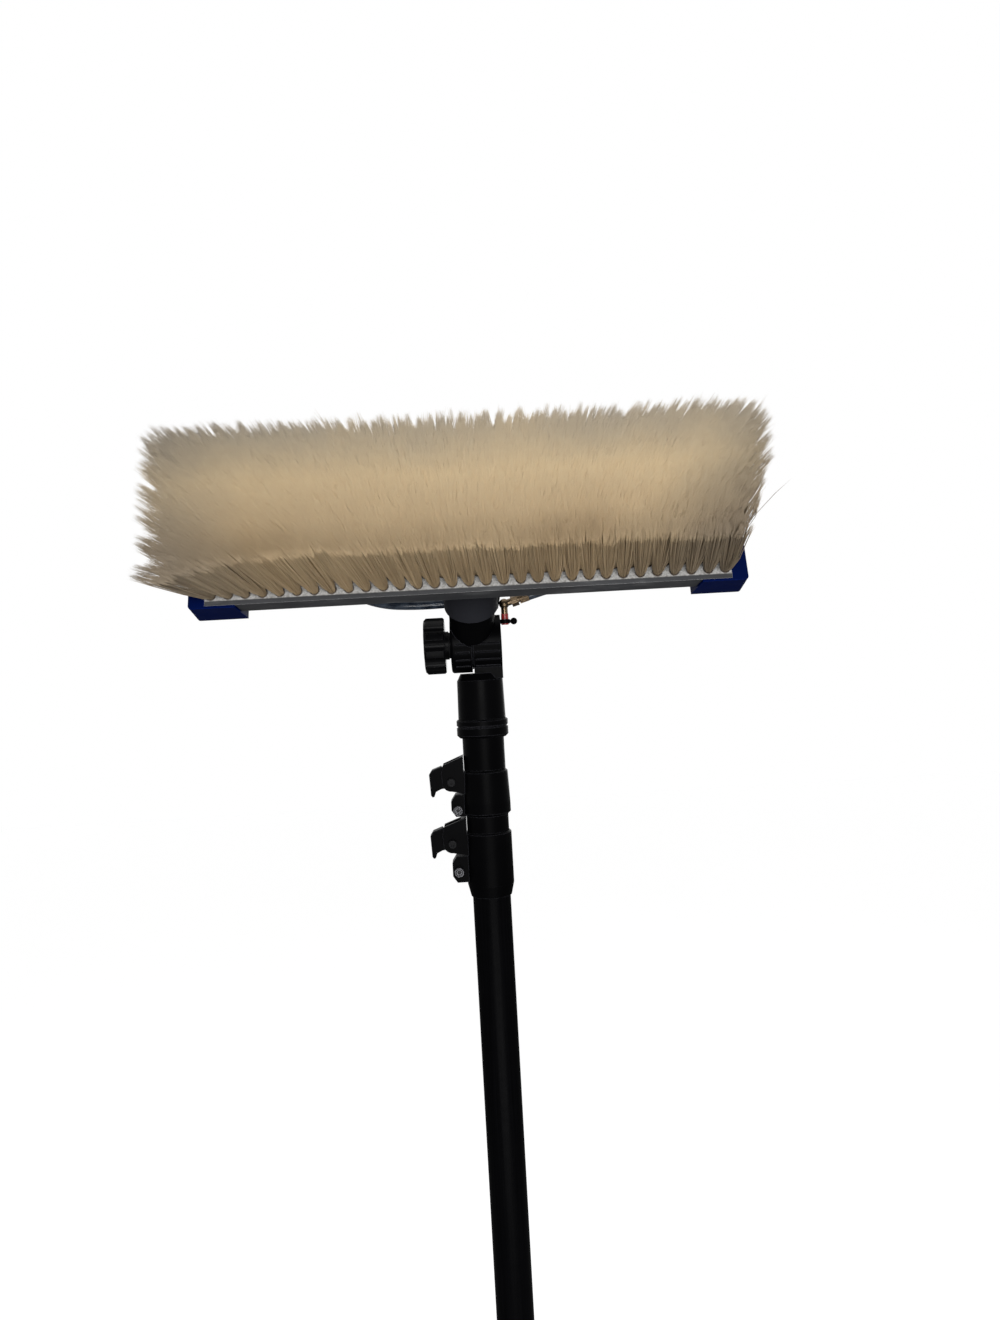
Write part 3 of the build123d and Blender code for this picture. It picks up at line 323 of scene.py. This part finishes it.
def bristle_material(name):
    """Cream nylon filament: translucent, darker towards the roots as painted shade, paler at the split tips,
    with painted shade, greyer or browner, towards the edges and ends of the brush.
    """
    material, tree, shader = start_material(name)
    along = add_node(tree, "ShaderNodeAttribute", attribute_name="along").outputs["Fac"]
    tone = add_node(tree, "ShaderNodeAttribute", attribute_name="tone").outputs["Fac"]
    # painted shade: the ramp darkens the filaments towards their roots, where the tuft shades itself; paler
    # towards the split tips
    lengthwise = ramp(tree, along, [(0.0, (0.54, 0.40, 0.25)), (0.6, (0.70, 0.55, 0.33)),
                                    (0.95, (0.84, 0.68, 0.44)), (1.0, (0.92, 0.80, 0.56))])
    varied = mix(tree, remap(tree, tone, 0.0, 0.45), lengthwise, (0.87, 0.74, 0.51))
    length, across, _ = block_coordinates(tree)
    spot = add_node(tree, "ShaderNodeCombineXYZ")
    tree.links.new(length, spot.inputs["X"])
    tree.links.new(across, spot.inputs["Y"])
    patches = remap(tree, noise(tree, 14.0, 3.0), 0.6, 1.2)
    coloured = varied
    # painted shade: each entry darkens the filaments towards one edge or corner of the brush, in patches
    for direction, unshaded_until, painted_light, most, colour in PAINTED_SHADE:
        toward = add_node(tree, "ShaderNodeVectorMath", operation="DOT_PRODUCT")
        toward.inputs[1].default_value = (*direction, 0.0)
        tree.links.new(spot.outputs[0], toward.inputs[0])
        share = add_node(tree, "ShaderNodeMapRange")
        share.inputs["From Min"].default_value = unshaded_until
        share.inputs["From Max"].default_value = painted_light
        share.inputs["To Max"].default_value = most
        tree.links.new(toward.outputs["Value"], share.inputs["Value"])
        patchy = add_node(tree, "ShaderNodeMath", operation="MULTIPLY")
        tree.links.new(share.outputs["Result"], patchy.inputs[0])
        tree.links.new(patches, patchy.inputs[1])
        coloured = mix(tree, patchy.outputs[0], coloured, colour)
    tree.links.new(coloured, shader.inputs["Base Color"])
    tree.links.new(remap(tree, noise(tree, 400.0), 0.34, 0.52), shader.inputs["Roughness"])
    shader.inputs["Specular IOR Level"].default_value = 0.3
    translucent = add_node(tree, "ShaderNodeBsdfTranslucent")
    tree.links.new(coloured, translucent.inputs["Color"])
    blend = add_node(tree, "ShaderNodeMixShader")
    blend.inputs[0].default_value = 0.32
    tree.links.new(shader.outputs[0], blend.inputs[1])
    tree.links.new(translucent.outputs[0], blend.inputs[2])
    tree.links.new(blend.outputs[0], tree.nodes["Material Output"].inputs["Surface"])
    return material


def block_coordinates(tree):
    """Place on the brush block, as sockets along its length, across it and out of its face."""
    shifted = add_node(tree, "ShaderNodeVectorMath", operation="SUBTRACT")
    shifted.inputs[1].default_value = block_back
    tree.links.new(add_node(tree, "ShaderNodeTexCoord").outputs["Object"], shifted.inputs[0])
    sockets = []
    for direction in block_axes:
        dot = add_node(tree, "ShaderNodeVectorMath", operation="DOT_PRODUCT")
        dot.inputs[1].default_value = tuple(direction)
        tree.links.new(shifted.outputs[0], dot.inputs[0])
        sockets.append(dot.outputs["Value"])
    return sockets


def hole_distance(tree, shift):
    """Distance from the nearest hole of every second row; shift moves to the rows between."""
    length, across, _ = block_coordinates(tree)
    rows = add_node(tree, "ShaderNodeMapRange")
    first = ROW_MARGIN - BLOCK_WIDTH / 2
    rows.inputs["From Min"].default_value = first - ROW_GAP / 2
    rows.inputs["From Max"].default_value = first + (TUFT_ROWS - 0.5) * ROW_GAP
    rows.inputs["To Min"].default_value = -0.5
    rows.inputs["To Max"].default_value = TUFT_ROWS - 0.5
    tree.links.new(across, rows.inputs["Value"])
    joined = add_node(tree, "ShaderNodeCombineXYZ")
    tree.links.new(length, joined.inputs["X"])
    tree.links.new(rows.outputs["Result"], joined.inputs["Y"])
    cells = add_node(tree, "ShaderNodeVectorMath", operation="MULTIPLY_ADD")
    cells.inputs[1].default_value = (1 / TUFT_PITCH, 0.5, 0.0)
    cells.inputs[2].default_value = (0.5 + shift, 0.5 + shift, 0.5)
    tree.links.new(joined.outputs[0], cells.inputs[0])
    wrapped = add_node(tree, "ShaderNodeVectorMath", operation="FRACTION")
    tree.links.new(cells.outputs[0], wrapped.inputs[0])
    sized = add_node(tree, "ShaderNodeVectorMath", operation="MULTIPLY_ADD")
    sized.inputs[1].default_value = (TUFT_PITCH, 2 * ROW_GAP, 0.0)
    sized.inputs[2].default_value = (-TUFT_PITCH / 2, -ROW_GAP, 0.0)
    tree.links.new(wrapped.outputs[0], sized.inputs[0])
    length_of = add_node(tree, "ShaderNodeVectorMath", operation="LENGTH")
    tree.links.new(sized.outputs[0], length_of.inputs[0])
    return length_of.outputs["Value"]


def block_material(name):
    """Grey block: pale speckled face; painted shade as dark rings round the holes, on the sides and along the
    near edge; edges painted mid grey as a highlight against the shaded sides.
    """
    material, tree, shader = start_material(name)
    normal, painted_light = rounded_edges(tree, 0.0006)
    specks = noise(tree, 700.0, 3.0)
    face = mix(tree, remap(tree, specks, 0.0, 0.9), (0.37, 0.365, 0.355), (0.15, 0.145, 0.135))
    # painted shade: a dark ring round each hole, where its wall lies in shade
    nearest = add_node(tree, "ShaderNodeMath", operation="MINIMUM")
    tree.links.new(hole_distance(tree, 0.0), nearest.inputs[0])
    tree.links.new(hole_distance(tree, 0.5), nearest.inputs[1])
    hole_shade = add_node(tree, "ShaderNodeMapRange")
    hole_shade.inputs["From Min"].default_value = HOLE_RADIUS + HOLE_SHADE_END
    hole_shade.inputs["From Max"].default_value = HOLE_RADIUS + HOLE_SHADE_FULL
    tree.links.new(nearest.outputs[0], hole_shade.inputs["Value"])
    hole_shaded = mix(tree, hole_shade.outputs["Result"], face, (0.045, 0.030, 0.020))
    # painted shade: the sides, below the face, are coloured dark, with streaks of tone
    streaks = noise(tree, 55.0, 5.0, 0.6, stretch=(0.35, 1.0, 1.6))
    side = ramp(tree, streaks, [(0.3, (0.014, 0.015, 0.017)), (0.55, (0.029, 0.030, 0.033)),
                                (0.75, (0.088, 0.090, 0.092))])
    _, across, height = block_coordinates(tree)
    on_face = add_node(tree, "ShaderNodeMath", operation="GREATER_THAN")
    on_face.inputs[1].default_value = BLOCK_THICKNESS - 0.0002
    tree.links.new(height, on_face.inputs[0])
    # painted shade along the near edge of the face, coloured like the shaded sides
    inside = add_node(tree, "ShaderNodeMapRange")
    inside.inputs["From Min"].default_value = SHADED_NEAR_EDGE - BLOCK_WIDTH / 2
    inside.inputs["From Max"].default_value = SHADED_NEAR_EDGE + NEAR_SHADE_FADE - BLOCK_WIDTH / 2
    tree.links.new(across, inside.inputs["Value"])
    unshaded_face = add_node(tree, "ShaderNodeMath", operation="MULTIPLY")
    tree.links.new(on_face.outputs[0], unshaded_face.inputs[0])
    tree.links.new(inside.outputs["Result"], unshaded_face.inputs[1])
    coloured = mix(tree, unshaded_face.outputs[0], side, hole_shaded)
    # painted highlight: edges mixed to mid grey, lighter than the shaded sides
    edged = mix(tree, painted_light, coloured, (0.20, 0.20, 0.20))
    tree.links.new(edged, shader.inputs["Base Color"])
    tree.links.new(remap(tree, noise(tree, 60.0, 5.0), 0.45, 0.62), shader.inputs["Roughness"])
    tree.links.new(bump(tree, specks, 0.35, 0.00005, normal), shader.inputs["Normal"])
    shader.inputs["Specular IOR Level"].default_value = 0.35
    return material


def dress_nodes():
    """Gives every carried-over node its material."""
    # The factor after the edge radius paints each part's edges lighter, as a painted highlight; on the black
    # parts and the bolts it is strong, for bright rims.
    black = moulded("black_nylon", (0.0011, 0.0011, 0.0013), 0.34, grain_depth=0.00004, edge=0.0007,
                    edge_highlight=30.0, specular=0.014)
    smooth_black = moulded("smooth_black", (0.0020, 0.0020, 0.0023), 0.28, grain=1500.0, grain_depth=0.00002,
                           edge_highlight=8.0, specular=0.03)
    rubber = moulded("black_rubber", (0.004, 0.004, 0.004), 0.62, grain=700.0, grain_depth=0.00008,
                     edge_highlight=1.8, specular=0.05)
    steel = moulded("plated_steel", (0.52, 0.52, 0.53), 0.30, grain=2500.0, grain_depth=0.00002, metallic=1.0,
                    edge=0.0002, edge_highlight=1.3)
    dark_steel = moulded("black_steel", (0.004, 0.004, 0.0045), 0.38, grain=2000.0, grain_depth=0.00002,
                         edge=0.0004, edge_highlight=9.0, specular=0.05)
    # painted highlight: the edges are painted far lighter, a bright ring on the bolt heads
    bolt_steel = moulded("steel_with_painted_rim_highlight", (0.012, 0.012, 0.013), 0.3, grain=2000.0,
                         grain_depth=0.00002, edge=0.0007, edge_highlight=45.0, specular=0.1)
    brass = moulded("brass", (0.125, 0.09, 0.056), 0.30, grain=1600.0, grain_depth=0.00003, metallic=1.0,
                    edge=0.0003, edge_highlight=1.6)
    red = moulded("red_collar", (0.24, 0.011, 0.009), 0.35, grain=1300.0, edge=0.0002, edge_highlight=1.3)
    grey = moulded("grey_boss", (0.0155, 0.016, 0.0195), 0.60, edge_highlight=2.0, specular=0.03)
    block = block_material("grey_block")
    blue = moulded("blue_rubber", (0.0004, 0.0036, 0.036), 0.40, grain=1100.0, edge=0.0009, edge_highlight=2.6,
                   specular=0.02)
    tube = tube_material("drawn_tube")
    dressing = {
        tube: ["outer_tube", "middle_tube", "inner_tube"],
        rubber: ["butt_cap", "lower_cam_pad", "upper_cam_pad"],
        black: ["lower_clamp_body", "upper_clamp_body", "middle_guide_bush", "inner_guide_bush",
                "neck_sleeve", "lock_ring", "hinge_socket", "hinge_spigot", "feed_tee", "inlet_clip",
                "friction_disc", "jet_left", "jet_right", "lower_lever", "upper_lever"],
        smooth_black: ["hand_knob"],
        dark_steel: ["lower_nuts", "upper_nuts", "lower_lever_pin", "upper_lever_pin", "knob_washer"],
        bolt_steel: ["lower_pinch_bolt", "upper_pinch_bolt"],
        steel: ["socket_screws", "hinge_bolt", "boss_screws", "bumper_screws"],
        brass: ["brass_elbow", "knob_insert"],
        red: ["inlet_collar"],
        grey: ["socket_boss"],
        block: ["brush_block"],
        blue: ["bumper_left", "bumper_right"],
    }
    for material, names in dressing.items():
        for name in names:
            mesh = nodes[name].data
            mesh.materials.clear()
            mesh.materials.append(material)


# ================= hoses =================
HOSE_DIAMETER = 0.009
RIGHT_ROUTE = [
    (0.0496, 0.0049, 0.0425), (0.0695, 0.003, 0.048), (0.09, -0.008, 0.052), (0.107, -0.027, 0.062),
    (0.118, -0.047, 0.079), (0.1268, -0.0658, 0.0978),
]
LEFT_ROUTE = [
    (-0.004, 0.007, 0.0405), (-0.030, 0.007, 0.0392), (-0.057, 0.004, 0.039), (-0.084, -0.005, 0.0406),
    (-0.107, -0.021, 0.0488), (-0.1215, -0.0395, 0.063), (-0.1295, -0.0545, 0.080),
    (-0.1348, -0.0658, 0.0978),
]


def make_hose(name, route, material):
    curve = bpy.data.curves.new(f"{name}_tube", "CURVE")
    curve.dimensions = "3D"
    curve.bevel_depth = HOSE_DIAMETER / 2
    curve.bevel_resolution = 8
    curve.resolution_u = 16
    curve.use_fill_caps = True
    spline = curve.splines.new("NURBS")
    spline.points.add(len(route) - 1)
    for point, place in zip(spline.points, route):
        point.co = (*(tilt_axis + Vector(place)), 1.0)
    spline.order_u = 3
    spline.use_endpoint_u = True
    curve.materials.append(material)
    hose = bpy.data.objects.new(f"{name}_tube", curve)
    bpy.context.scene.collection.objects.link(hose)
    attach(hose, "brush_head")
    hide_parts(name)


# ================= bristles =================
def tuft_places(row):
    """Each tuft of a row: place in the block's plane, how far its tips stand over, the field they fill,
    its share of the full length, and the count, pull and reach of its wisps.

    A jet has no tuft of its own, so the tufts on both sides of it reach over it.
    """
    far = row / (TUFT_ROWS - 1)
    near = (1 - far) ** 2
    count = TUFT_COLUMNS if row % 2 == 0 else TUFT_COLUMNS - 1
    w = -BLOCK_WIDTH / 2 + ROW_MARGIN + row * ROW_GAP
    for index in range(count):
        column = index - (count - 1) / 2
        if row == JET_ROW and abs(column) == JET_COLUMN:
            continue
        side = column / ((TUFT_COLUMNS - 1) / 2)
        lean_x = END_LEAN * side - near * (SIDE_SWEEP + RIGHT_HOLD * max(side, 0))
        lean_x -= LEFT_SPREAD * far * max(-side, 0) ** 3
        lean_w = NEAR_LEAN + (FAR_LEAN - NEAR_LEAN) * far
        lean_w -= near * (NEAR_SLANT * side + CORNER_LEAN * max(-side, 0) ** CORNER_POWER)
        beside_jet = row == JET_ROW and abs(abs(column) - JET_COLUMN) == 1
        jet_side = JET_COLUMN - abs(column) if beside_jet else 0
        lean_x += jet_side * math.copysign(TUFT_PITCH / 4, column)
        cell = np.array([TUFT_PITCH * (1 + abs(jet_side) / 2), ROW_GAP])
        if row < NEAR_ROWS:
            lean_w += rng.normal(0, NEAR_UNEVEN)
        length = 1 - NEAR_TRIM * near ** 2
        wisps = (WISPS, WISP_PULL, NEAR_REACH if row < NEAR_ROWS else WISP_REACH)
        if row == TUFT_ROWS - 1 or index in (0, count - 1):
            wisps = (EDGE_WISPS, EDGE_PULL, EDGE_REACH)
            cell *= EDGE_OVERLAP
        yield np.array([column * TUFT_PITCH, w]), np.array([lean_x, lean_w]), cell, length, wisps


def disc_from_square(square):
    """Moves places in a square from -1 to 1 into the unit disc, keeping neighbours together."""
    u, v = square[:, 0], square[:, 1]
    wide = np.abs(u) > np.abs(v)
    radius = np.where(wide, u, v)
    safe = np.where(radius == 0, 1e-9, radius)
    turn = np.where(wide, math.pi / 4 * v / safe, math.pi / 2 - math.pi / 4 * u / safe)
    return np.stack([radius * np.cos(turn), radius * np.sin(turn)], axis=1)


def even_square():
    """Places over a square from -1 to 1: one at random in each cell of a grid."""
    columns, rows = FILAMENTS
    grid = np.stack(np.meshgrid(np.arange(columns), np.arange(rows)), axis=-1).reshape(-1, 2)
    return (grid + rng.random(grid.shape)) / np.array(FILAMENTS) * 2 - 1


def wisp_pull(tips, wisps):
    """How far each tip is drawn towards the middle of its wisp, and the wisp's extra reach."""
    count, strength, spread = wisps
    middles = tips[rng.choice(len(tips), count, replace=False)]
    nearest = np.argmin(((tips[:, None, :] - middles[None]) ** 2).sum(axis=2), axis=1)
    reach = rng.normal(0.0, spread, count)
    return (middles[nearest] - tips) * strength, reach[nearest]


def tuft_paths(place, lean, cell, length, wisps, steps, hair_steps):
    """Filament paths of one tuft and the paths of their split hairs, in the block's own axes."""
    square = even_square()
    count = len(square)
    roots = disc_from_square(square) * ROOT_SPREAD
    tips = square * cell / 2 * TIP_OVERLAP
    pull, extra = wisp_pull(tips, wisps)
    stray = rng.normal(0, TIP_SCATTER, (count, 2))
    far_out = rng.random(count) < STRAYS
    stray[far_out] *= STRAY_SCATTER
    reach = length + extra - np.abs(rng.normal(0, LENGTH_SCATTER, count))
    reach[far_out] += STRAY_REACH
    tuft_lean = lean + rng.normal(0, TUFT_SCATTER, 2)

    def follow(t, splay):
        held = np.clip(t, 0, None)[None, :, None]
        drawn = np.clip((held - SPLIT_START) / (1 - SPLIT_START), 0, 1)
        spread = held ** SPREAD_POWER * np.clip(held / ROOT_HOLD, 0, 1)
        flat = place + roots[:, None] * (1 - spread) + tips[:, None] * spread
        flat += tuft_lean * held ** BEND_POWER + pull[:, None] * drawn
        flat += stray[:, None] * held ** 2 + splay
        height = BLOCK_THICKNESS + t[None, :] * BRISTLE_LENGTH * reach[:, None]
        return np.concatenate([flat, height[:, :, None]], axis=2)

    hairs = []
    for _ in range(SPLIT_HAIRS):
        splay = rng.normal(0, SPLIT_SPLAY, (count, 1, 2)) * np.array([0.0, 1.0])[None, :, None]
        hairs.append(follow(hair_steps, splay))
    return follow(steps, 0.0), np.concatenate(hairs)


def strands(paths, radii):
    """Three-sided strands along the paths (strand, point, xyz), each drawn out to a point."""
    count, points, _ = paths.shape
    rings = points - 1
    turn = rng.uniform(0, math.tau, count)[:, None] + np.arange(3) * math.tau / 3
    around = np.stack([np.cos(turn), np.sin(turn), np.zeros_like(turn)], axis=2)
    sides = paths[:, :-1, None, :] + radii[None, :, None, None] * around[:, None]
    corners = np.concatenate([sides.reshape(count, rings * 3, 3), paths[:, -1:]], axis=1)
    faces = []
    for step in range(rings - 1):
        for side in range(3):
            low = step * 3 + side
            low_next = step * 3 + (side + 1) % 3
            faces += [(low, low_next, low_next + 3), (low, low_next + 3, low + 3)]
    top, apex = (rings - 1) * 3, rings * 3
    faces += [(top + side, top + (side + 1) % 3, apex) for side in range(3)]
    first = np.arange(count)[:, None, None] * (apex + 1)
    return corners.reshape(-1, 3), (first + np.array(faces)).reshape(-1, 3)


def make_bristles(row, material):
    """All filaments of a row, with the fine hairs of their split tips, as one mesh."""
    steps, hair_steps = np.array(FILAMENT_STEPS), np.array(HAIR_STEPS)
    bodies, hairs = zip(*[tuft_paths(*tuft, steps, hair_steps) for tuft in tuft_places(row)])
    bodies, hairs = np.concatenate(bodies), np.concatenate(hairs)
    if row == LONG_HAIR_ROW:
        bodies[-1, :, :2] += np.array(LONG_HAIR_LEAN) * np.clip(steps, 0, None)[:, None] ** LONG_HAIR_BEND
    corners, faces = strands(bodies, FILAMENT_RADIUS * np.array(FILAMENT_TAPER))
    hair_corners, hair_faces = strands(hairs, FILAMENT_RADIUS * np.array(HAIR_TAPER))
    along = np.tile(np.append(np.repeat(steps[:-1], 3), 1.0), len(bodies))
    hair_along = np.tile(np.append(np.repeat(hair_steps[:-1], 3), 1.0), len(hairs))
    tones = np.repeat(rng.random(len(bodies)), len(along) // len(bodies))
    hair_tones = np.repeat(rng.random(len(hairs)), len(hair_along) // len(hairs))
    places = np.concatenate([corners, hair_corners]) @ block_axes + np.array(block_back)
    triangles = np.concatenate([faces, hair_faces + len(corners)])
    name = f"tuft_row_{row + 1:02d}"
    mesh = bpy.data.meshes.new(f"{name}_filaments")
    mesh.vertices.add(len(places))
    mesh.vertices.foreach_set("co", places.astype(np.float32).ravel())
    mesh.loops.add(triangles.size)
    mesh.loops.foreach_set("vertex_index", triangles.astype(np.int32).ravel())
    mesh.polygons.add(len(triangles))
    mesh.polygons.foreach_set("loop_start", np.arange(0, triangles.size, 3, dtype=np.int32))
    mesh.polygons.foreach_set("use_smooth", np.ones(len(triangles), bool))
    mesh.update(calc_edges=True)
    for key, values in (("along", [along, hair_along]), ("tone", [tones, hair_tones])):
        attribute = mesh.attributes.new(key, "FLOAT", "POINT")
        attribute.data.foreach_set("value", np.clip(np.concatenate(values), 0, 1).astype(np.float32))
    mesh.materials.append(material)
    piece = bpy.data.objects.new(f"{name}_filaments", mesh)
    bpy.context.scene.collection.objects.link(piece)
    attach(piece, "brush_head")
    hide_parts(name)


# ================= stage =================
def floor_material():
    """Pale floor that looks white to the camera and keeps the object's shadow."""
    material, tree, shader = start_material("floor")
    tone = ramp(tree, noise(tree, 1.3), [(0.2, (0.52, 0.52, 0.52)), (0.8, (0.55, 0.55, 0.55))])
    tree.links.new(tone, shader.inputs["Base Color"])
    shader.inputs["Roughness"].default_value = 0.85
    shader.inputs["Specular IOR Level"].default_value = 0.1
    shader.inputs["Emission Color"].default_value = (1.0, 1.0, 1.0, 1.0)
    seen = add_node(tree, "ShaderNodeLightPath").outputs["Is Camera Ray"]
    glow = add_node(tree, "ShaderNodeMath", operation="MULTIPLY")
    glow.inputs[1].default_value = FLOOR_GLOW
    tree.links.new(seen, glow.inputs[0])
    tree.links.new(glow.outputs[0], shader.inputs["Emission Strength"])
    return material


def make_floor():
    far = FLOOR_REACH
    mesh = bpy.data.meshes.new("floor")
    mesh.from_pydata([(-far, -far, 0), (far, -far, 0), (far, far, 0), (-far, far, 0)], [], [(0, 1, 2, 3)])
    mesh.materials.append(floor_material())
    sheet = bpy.data.objects.new("floor", mesh)
    bpy.context.scene.collection.objects.link(sheet)


def set_world():
    """Even pale surroundings, pure white where the camera looks past the object."""
    world = bpy.data.worlds.new("surroundings")
    world.use_nodes = True
    tree = world.node_tree
    background = tree.nodes["Background"]
    background.inputs["Color"].default_value = (1.0, 1.0, 1.0, 1.0)
    path = add_node(tree, "ShaderNodeLightPath")
    seen = path.outputs["Is Camera Ray"]
    for ray in ("Is Glossy Ray", "Is Transmission Ray"):
        either = add_node(tree, "ShaderNodeMath", operation="MAXIMUM")
        tree.links.new(seen, either.inputs[0])
        tree.links.new(path.outputs[ray], either.inputs[1])
        seen = either.outputs[0]
    level = add_node(tree, "ShaderNodeMapRange")
    level.inputs["To Min"].default_value = WORLD_LIGHT
    level.inputs["To Max"].default_value = 1.0
    tree.links.new(seen, level.inputs["Value"])
    tree.links.new(level.outputs["Result"], background.inputs["Strength"])
    bpy.context.scene.world = world


# Soft lamps, all aimed at the tilt axis: name, place, width and height, power in watts.
LAMPS = [
    ("key", (0.15, -2.1, 1.75), (0.9, 0.8), 38.5),
    ("fill", (-1.6, -1.3, 2.0), (1.0, 1.4), 1.5),
    ("back", (0.7, 2.2, 1.7), (1.4, 1.2), 9.0),
    ("low", (0.2, -1.7, 0.5), (1.3, 0.7), 17.0),
    ("top", (0.1, 0.3, 3.2), (1.4, 0.9), 4.0),
]


def make_lights():
    for name, place, size, power in LAMPS:
        light = bpy.data.lights.new(name, "AREA")
        light.shape = "RECTANGLE"
        light.size, light.size_y = size
        light.energy = power
        lamp = bpy.data.objects.new(name, light)
        lamp.location = place
        lamp.rotation_euler = (tilt_axis - Vector(place)).to_track_quat("-Z", "Y").to_euler()
        bpy.context.scene.collection.objects.link(lamp)


make_camera()
hoses = hose_material("blue_hose")
make_hose("hose_right", RIGHT_ROUTE, hoses)
make_hose("hose_left", LEFT_ROUTE, hoses)
dress_nodes()
bristles = bristle_material("nylon_bristle")
for row in range(TUFT_ROWS):
    make_bristles(row, bristles)
make_floor()
set_world()
make_lights()

bpy.context.scene.view_settings.view_transform = "Standard"
